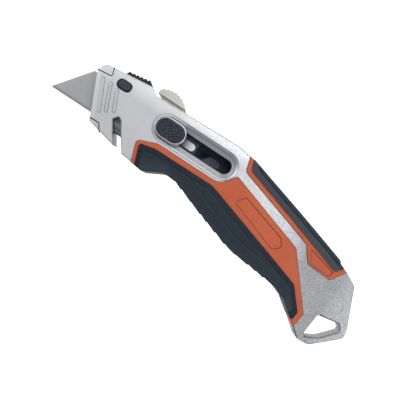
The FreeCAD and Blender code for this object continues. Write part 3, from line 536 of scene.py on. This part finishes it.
bellyGrip = {
    "voxel": 0.36,
    "crease": [(59.6, -16.0), (55.9, -1.6), (61.5, -0.9), (66.0, -0.8), (94.8, -0.4),
               (100.0, -2.4), (120.0, -8.6), (130.0, -11.6), (150.0, -17.4), (155.4, -19.4),
               (161.9, -27.4), (159.4, -36.0)],
    "bevelSlope": 0.20, "bevelLimit": 0.9,
    "grooveDepth": 0.22, "grooveWidth": 0.30,
    "outline": [(55.0, -10.2), (61.0, -11.1), (70.4, -6.0), (77.4, -6.2), (101.5, -14.6),
                (118.0, -19.8), (147.0, -22.9), (155.2, -25.7), (164.8, -32.6)],
    "steps": [64.0, 70.5, 76.5, 82.0, 89.5, 97.0, 101.5, 108.0, 115.0, 122.5, 130.5, 135.5,
              140.5, 148.0, 154.0, 160.0],
    "stepDepth": [0.1, 0.4, 0.45, 0.5, 0.3, 0.5, 0.5, 0.55, 0.5, 0.25, 0.55, 0.5, 0.5, 0.55,
                  0.3, 0.2],
    "stepReach": 7.5, "crown": 1.3, "crownReach": 6.5,
    "lowerCrease": 6.6, "lowerDepth": 0.14, "sheenAndWearReach": 7.0, "edgeSheenAndWear": 0.42,
    "bevelShade": -0.9, "grooveShade": 0.4, "grooveReach": 0.45,
    "front": 66.0, "rear": 163.0, "endFade": 9.0,
}
backGrip = {
    "voxel": 0.36,
    "crease": [(169.4, 3.9), (160.0, 6.9), (150.0, 9.5), (130.0, 15.3), (110.0, 21.6),
               (107.6, 24.5)],
    "bevelSlope": 0.25, "bevelLimit": 0.9,
    "grooveDepth": 0.24, "grooveWidth": 0.30,
    "outline": [(169.3, 6.5), (105.5, 24.7)],
    "steps": [], "stepDepth": [], "stepReach": 3.0,
    "crown": 1.2, "crownReach": 4.2,
    "lowerCrease": 2.6, "lowerDepth": 0.10, "sheenAndWearReach": 5.0, "edgeSheenAndWear": 0.25,
    "bevelShade": 1.0, "grooveShade": 2.0, "grooveReach": 0.45,
    "front": 107.0, "rear": 168.0, "endFade": 6.0,
}


# What all four grips share: how far down the groove and the lower crease reach, how wide the
# steps and creases are, where the painted sheen and wear start, and how the scales lean.
gripFade = {"topDepth": 2.2, "topWidth": 0.8, "stepWidth": 0.35, "lowerWidth": 0.4,
            "bevelWidth": 0.3, "sheenAndWearStart": 1.2, "binWidth": 1.0}
scaleLean = math.radians(-15.0)


# The top's height along the grip, read from the skin itself.
def topHeights(places, height):
    bins = np.arange(places[:, 0].min(), places[:, 0].max() + gripFade["binWidth"],
                     gripFade["binWidth"])
    group = np.clip(np.digitize(places[:, 0], bins) - 1, 0, len(bins) - 1)
    tops = np.zeros(len(bins))
    np.maximum.at(tops, group, height)
    return np.interp(places[:, 0], bins + gripFade["binWidth"] / 2, tops)


# Overlapping scales step in one after another along the outline.
def scaleDepths(places, look):
    corners = look["outline"]
    along = places[:, 0] * math.cos(scaleLean) + places[:, 1] * math.sin(scaleLean)
    steps = [x * math.cos(scaleLean)
             + np.interp(x, [c[0] for c in corners], [c[1] for c in corners])
             * math.sin(scaleLean) for x in look["steps"]]
    depths = np.zeros(len(places))
    for start, end, depth in zip(steps[:-1], steps[1:], look["stepDepth"]):
        inside = (along >= start) & (along < end)
        share = (along - start) / (end - start)
        rise = np.clip((along - start) / gripFade["stepWidth"], 0.0, 1.0)
        depths = np.where(inside, depth * (1.0 - share) * rise, depths)
    return depths


def sculptGrip(name, node, side, look):
    piece = fineSkin(name, node, look["voxel"])
    smoothSkin(piece, 1)
    places, out = readSkin(piece)
    out[:, 2] *= side
    height = places[:, 2] * side
    topHere = topHeights(places, height)

    # A bevel falls from the crease to the coloured trim, with a fine groove along the crease.
    away = lineDistance(places, look["crease"])
    fall = np.minimum(look["bevelSlope"] * np.clip(away, 0.0, None), look["bevelLimit"])
    height = np.minimum(height, topHere - fall)
    edge = np.abs(lineDistance(places, look["outline"]))
    middle = (np.clip((places[:, 0] - look["front"]) / look["endFade"], 0.0, 1.0)
              * np.clip((look["rear"] - places[:, 0]) / look["endFade"], 0.0, 1.0))
    nearEdge = np.clip(1.0 - edge / look["crownReach"], 0.0, 1.0) * middle
    height = np.minimum(height, topHere - look["crown"] * nearEdge ** 2)
    onTop = np.clip((height - topHere + gripFade["topDepth"]) / gripFade["topWidth"], 0.0, 1.0)
    height -= look["grooveDepth"] * np.exp(-(away / look["grooveWidth"]) ** 2) * onTop

    # The scales fade out inwards from the outline, and a second crease runs near their end.
    fade = np.clip(1.0 - edge / look["stepReach"], 0.0, 1.0)
    fade = fade * fade * (3.0 - 2.0 * fade)
    outer = np.clip(np.maximum(out[:, 2], np.abs(out[:, 1])), 0.0, 1.0)
    sunk = scaleDepths(places, look) * fade * outer * middle
    lowerAway = (edge - look["lowerCrease"]) / gripFade["lowerWidth"]
    lower = look["lowerDepth"] * np.exp(-lowerAway ** 2)
    sunk += lower * onTop * np.clip(out[:, 2], 0.0, 1.0)
    places[:, 0] -= out[:, 0] * sunk
    places[:, 1] -= out[:, 1] * sunk
    places[:, 2] = (height - out[:, 2] * sunk) * side
    writeSkin(piece, places)
    smoothSkin(piece, 1, 0.4)

    # The shade attribute paints shade on the belly grips' bevels and in every crease's groove. It
    # paints a lighter sheen and wear near the outline, and a highlight on the back grips' bevels.
    onBevel = np.clip((away + gripFade["bevelWidth"]) / (2 * gripFade["bevelWidth"]), 0.0, 1.0)
    sheenAndWearHere = look["edgeSheenAndWear"] * np.clip(gripFade["sheenAndWearStart"] - edge / look["sheenAndWearReach"],
                                           0.0, 1.0)
    shade = sheenAndWearHere + (look["bevelShade"] - sheenAndWearHere) * onBevel
    writeShade(piece, shade - look["grooveShade"] * np.exp(-(away / look["grooveReach"]) ** 2))
    finishPiece(piece, node, "handle", gripRubber)


for sideName, side in (("left", 1.0), ("right", -1.0)):
    sculptGrip(sideName + "BellyGrip", sideName + "_belly_grip", side, bellyGrip)
    sculptGrip(sideName + "BackGrip", sideName + "_back_grip", side, backGrip)
print("utility knife: grips sculpted")

# The slider's pad: nested diamonds in wavy ridges under the thumb.
sliderPad = {"voxel": 0.11, "pitch": 1.7, "depth": 0.42, "squeeze": 0.66, "border": 0.8,
             "borderFade": 0.3, "wave": 0.25, "waveRate": 2.2, "topPower": 4, "ridgeShade": 0.55,
             "shadeSwing": 1.5}


def makeSliderPad(look):
    piece = fineSkin("sliderPad", "slider_pad", look["voxel"])
    smoothSkin(piece, 2)
    places, facing = readSkin(piece)
    low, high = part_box("slider_pad")
    centre = (np.array((low + high) / 2) - np.array(tip)) / mm
    half = np.array(high - low) / mm / 2
    u = places[:, 0] - centre[0]
    v = places[:, 1] - centre[1]
    ring = np.abs(u) * look["squeeze"] + np.abs(v)
    ring = ring + look["wave"] * np.sin(look["waveRate"] * (np.abs(u) - np.abs(v)))
    relief = 0.5 - 0.5 * np.cos(2 * math.pi * ring / look["pitch"])
    run = half[0] - half[1]
    inner = half[1] - np.hypot(np.clip(np.abs(u) - run, 0.0, None), v)
    edge = np.clip((inner - look["border"]) / look["borderFade"], 0.0, 1.0)
    top = np.clip(facing[:, 2], 0.0, 1.0) ** look["topPower"]
    places[:, 2] -= look["depth"] * relief * edge * top
    writeSkin(piece, places)
    smoothSkin(piece, 1, 0.3)
    # Ridges are painted lighter and grooves darker: painted highlight and painted shade on the
    # relief.
    writeShade(piece, (look["ridgeShade"] - look["shadeSwing"] * relief) * edge * top)
    finishPiece(piece, "slider_pad", "slider_pad", padRubber)


makeSliderPad(sliderPad)


# Cast thumb slide and moulded thumb rest: the same forms with softened teeth and edges.
def softPiece(name, node, body, material, voxel, rounds):
    piece = fineSkin(name, node, voxel)
    smoothSkin(piece, rounds)
    finishPiece(piece, node, body, material)
    return piece


softPiece("thumbSlide", "top_thumb_slide", "carrier", slideMetal, 0.12, 0)
thumbRest = softPiece("thumbRest", "thumb_rest", "handle", restRubber, 0.12, 0)

# The rest's teeth stand a little higher than their solid, growing over its lowest part.
restRise = {"start": 24.5, "reach": 1.5, "rise": 0.5}
restPlaces = readSkin(thumbRest)[0]
restShare = np.clip((restPlaces[:, 1] - restRise["start"]) / restRise["reach"], 0.0, 1.0)
restPlaces[:, 1] += restRise["rise"] * restShare
writeSkin(thumbRest, restPlaces)
softPiece("releaseButton", "blade_release_button", "release_button",
          buttonPlastic, 0.12, 3)
print("utility knife: pad, slide, rest and button made")


# A thin dark tube along a line, painted shade in joints, gaps and along the fine steps of the
# casting.
def makeTube(name, line, radius, material, body):
    line.data.bevel_depth = radius * mm
    line.data.bevel_resolution = 2
    line.data.use_fill_caps = True
    graph = bpy.context.evaluated_depsgraph_get()
    piece = bpy.data.objects.new(name, bpy.data.meshes.new_from_object(line.evaluated_get(graph)))
    scene.collection.objects.link(piece)
    bpy.data.objects.remove(line)
    piece.data.materials.clear()
    piece.data.materials.append(material)
    piece.data.shade_smooth()
    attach(piece, body)


# Dark tubes where the coloured trims meet the metal: painted shadow in the joint.
seamLook = {"radius": 0.27, "drop": 0.40, "mergeAngle": 1.0, "wallTilt": 0.05, "topTilt": 0.9}


def makeSeam(name, node, side, look):
    work = bmesh.new()
    work.from_mesh(nodes[node].data)
    bmesh.ops.remove_doubles(work, verts=work.verts, dist=weldReach * mm)
    bmesh.ops.dissolve_limit(work, angle_limit=math.radians(look["mergeAngle"]),
                             verts=work.verts, edges=work.edges)
    keep = set()
    for rim in work.edges:
        if len(rim.link_faces) != 2:
            continue
        tilts = sorted(side * face.normal.z for face in rim.link_faces)
        if abs(tilts[0]) < look["wallTilt"] and tilts[1] > look["topTilt"]:
            keep.add(rim)
    bmesh.ops.delete(work, geom=[rim for rim in work.edges if rim not in keep],
                     context="EDGES")
    bmesh.ops.delete(work, geom=[point for point in work.verts if not point.link_edges],
                     context="VERTS")
    bmesh.ops.translate(work, verts=work.verts, vec=(0.0, 0.0, -side * look["drop"] * mm))
    mesh = bpy.data.meshes.new(name)
    work.to_mesh(mesh)
    work.free()
    line = bpy.data.objects.new(name + "Line", mesh)
    scene.collection.objects.link(line)
    bpy.ops.object.select_all(action="DESELECT")
    bpy.context.view_layer.objects.active = line
    line.select_set(True)
    bpy.ops.object.convert(target="CURVE")
    makeTube(name, line, look["radius"], seamShadowBrown, "handle")


for sideName, side in (("left", 1.0), ("right", -1.0)):
    makeSeam(sideName + "BellySeam", sideName + "_belly_trim", side, seamLook)
    makeSeam(sideName + "BackSeam", sideName + "_back_trim", side, seamLook)

# Lines that lie on the casting: their heights are found on the surface below them.
surfaces = [BVHTree.FromObject(nodes[node], bpy.context.evaluated_depsgraph_get())
            for node in ("left_shell", "right_shell")]
surfaceTop = 50.0


def surfaceHeight(x, y, side, reach):
    best = None
    for offsetX, offsetY in ((0, 0), (reach, 0), (-reach, 0), (0, reach), (0, -reach)):
        start = Vector((tip.x + (x + offsetX) * mm, tip.y + (y + offsetY) * mm,
                        tip.z + side * surfaceTop * mm))
        for surface in surfaces:
            hit = surface.ray_cast(start, Vector((0.0, 0.0, -side)))[0]
            if hit is not None and side * (hit.z - tip.z) > 0.0:
                height = side * (hit.z - tip.z) / mm
                best = height if best is None else max(best, height)
    return best


def capsuleLine(start, end, radius, count=14):
    run = math.atan2(end[1] - start[1], end[0] - start[0])
    points = []
    for centre, turn in ((end, run - math.pi / 2), (start, run + math.pi / 2)):
        for index in range(count + 1):
            angle = turn + math.pi * index / count
            points.append((centre[0] + radius * math.cos(angle),
                           centre[1] + radius * math.sin(angle)))
    return points


def brokenLine(corners, pitch=0.4):
    points = []
    for start, end in zip(corners[:-1], corners[1:]):
        count = max(1, round(math.dist(start, end) / pitch))
        points += [(start[0] + (end[0] - start[0]) * index / count,
                    start[1] + (end[1] - start[1]) * index / count) for index in range(count)]
    return points + [corners[-1]]


def layLine(name, points, look, side=1.0, closed=True, heights=None):
    line = bpy.data.objects.new(name + "Line", bpy.data.curves.new(name, "CURVE"))
    scene.collection.objects.link(line)
    line.data.dimensions = "3D"
    laid = []
    for x, y in brokenLine(points + points[:1] if closed else points):
        height = heights or surfaceHeight(x, y, side, look.get("reach", 0.0))
        if height is not None:
            laid.append((tip.x + x * mm, tip.y + y * mm,
                         tip.z + side * (height - look["drop"]) * mm))
    if closed:
        laid.pop()
    spline = line.data.splines.new("POLY")
    spline.points.add(len(laid) - 1)
    for point, place in zip(spline.points, laid):
        point.co = (*place, 1.0)
    spline.use_cyclic_u = closed
    makeTube(name, line, look["radius"], look["material"], look.get("body", "handle"))


# Grey tubes round the track's lips and the nose ribs paint the shade along those edges.
track = {"front": (59.8, 13.8), "rear": (93.7, 13.8)}
trackLines = {
    "trackOuterRing": {"reachOut": 7.55, "radius": 0.15, "drop": 0.02, "material": edgeShadeGrey},
    "trackInnerRing": {"reachOut": 6.2, "radius": 0.20, "drop": 0.04, "material": edgeShadeGrey},
}
for name, look in trackLines.items():
    layLine(name, capsuleLine(track["front"], track["rear"], look["reachOut"]), look)

ribLook = {"reachOut": 0.74, "radius": 0.15, "drop": 0.02, "material": edgeShadeGrey, "turns": 6}
ribs = [((18.8, 17.7), (26.2, 2.4)), ((23.4, 17.7), (29.0, 4.4)), ((28.1, 16.4), (32.6, 6.3))]
for sideName, side in (("left", 1.0), ("right", -1.0)):
    for index, (start, end) in enumerate(ribs, 1):
        outline = capsuleLine(start, end, ribLook["reachOut"], ribLook["turns"])
        layLine(sideName + "RibLine" + str(index), outline, ribLook, side)

# The black tubes in the catches' joints, round the button and round the pad paint the shadow in
# those gaps.
catchLook = {"radius": 0.27, "drop": 0.06, "material": gapShadowBlack, "reach": 0.35}
catches = {
    "upperCatchGap": [(13.0, 19.85), (21.2, 20.7), (21.8, 21.6), (20.4, 25.6)],
    "lowerCatchGap": [(23.5, -2.6), (29.3, -2.5), (32.4, -7.0)],
}
for name, corners in catches.items():
    layLine(name, corners, catchLook, closed=False)

# Each gap lies level: the button's with the casting below it, the pad's with its frame's top.
button = {"front": (28.35, 20.3), "rear": (31.75, 20.3), "reachOut": 2.42, "radius": 0.42,
          "drop": 0.26, "material": gapShadowBlack, "faceAt": (30.05, 16.5)}
layLine("buttonGap", capsuleLine(button["front"], button["rear"], button["reachOut"]), button,
        heights=surfaceHeight(*button["faceAt"], 1.0, 0.0))
frameTop = (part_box("slider_frame")[1].z - tip.z) / mm
pad = {"front": (59.1, 13.8), "rear": (64.9, 13.8), "reachOut": 4.62, "radius": 0.30,
       "drop": 0.16, "material": gapShadowBlack, "body": "carrier"}
layLine("padGap", capsuleLine(pad["front"], pad["rear"], pad["reachOut"]), pad,
        heights=frameTop)
print("utility knife: seams and lines drawn")

# Camera, floor and lights.
studio = {
    "aimX": 93.2, "aimY": -7.0, "faceHeight": 20.5, "distance": 255.0, "frameWidth": 200.0,
    "roll": 33.3, "sensor": 36.0, "floorDrop": 0.36, "floorHalf": 6.0,
    "paperTone": (0.92, 0.92, 0.92), "paperRough": 0.9, "paperGlow": 0.80,
    "airTint": (0.97, 0.98, 1.0), "airStrength": 0.27,
}
cameraData = bpy.data.cameras.new("camera")
cameraData.sensor_width = studio["sensor"]
cameraData.lens = studio["sensor"] * studio["distance"] / studio["frameWidth"]
camera = bpy.data.objects.new("camera", cameraData)
scene.collection.objects.link(camera)
camera.location = (tip.x + studio["aimX"] * mm, tip.y + studio["aimY"] * mm,
                   (studio["faceHeight"] + studio["distance"]) * mm)
camera.rotation_euler = (0.0, 0.0, math.radians(studio["roll"]))
scene.camera = camera

floorMesh = bpy.data.meshes.new("floor")
floorWork = bmesh.new()
bmesh.ops.create_grid(floorWork, x_segments=1, y_segments=1, size=studio["floorHalf"])
bmesh.ops.translate(floorWork, verts=floorWork.verts, vec=(0.0, 0.0, -studio["floorDrop"]))
floorWork.to_mesh(floorMesh)
floorWork.free()
floor = bpy.data.objects.new("floor", floorMesh)
scene.collection.objects.link(floor)
floorPaper = bpy.data.materials.new("floorPaper")
floorPaper.use_nodes = True
paperShader = floorPaper.node_tree.nodes["Principled BSDF"]
paperShader.inputs["Base Color"].default_value = paint(studio["paperTone"])
paperShader.inputs["Roughness"].default_value = studio["paperRough"]
paperShader.inputs["Emission Color"].default_value = (1.0, 1.0, 1.0, 1.0)
paperShader.inputs["Emission Strength"].default_value = studio["paperGlow"]
floorMesh.materials.append(floorPaper)

studioAir = bpy.data.worlds.new("studioAir")
studioAir.use_nodes = True
airShader = studioAir.node_tree.nodes["Background"]
airShader.inputs["Color"].default_value = paint(studio["airTint"])
airShader.inputs["Strength"].default_value = studio["airStrength"]
scene.world = studioAir

lights = {
    "keyBox": {"place": (0.05, 0.36, 0.50), "size": 0.36, "power": 1.75, "tint": (1.0, 1.0, 1.0)},
    "noseBox": {"place": (-0.45, 0.06, 0.26), "size": 0.30, "power": 0.6,
                "tint": (1.0, 0.99, 0.98)},
    "fillBox": {"place": (0.37, -0.06, 0.40), "size": 0.30, "power": 0.78,
                "tint": (0.97, 0.98, 1.0)},
}
for name, setup in lights.items():
    lampData = bpy.data.lights.new(name, "AREA")
    lampData.size = setup["size"]
    lampData.energy = setup["power"]
    lampData.color = setup["tint"]
    lamp = bpy.data.objects.new(name, lampData)
    scene.collection.objects.link(lamp)
    lamp.location = setup["place"]
    lamp.rotation_euler = (Vector((0.0, 0.0, 0.01)) - lamp.location).to_track_quat(
        "-Z", "Y").to_euler()
print("utility knife: camera, floor and lights placed")
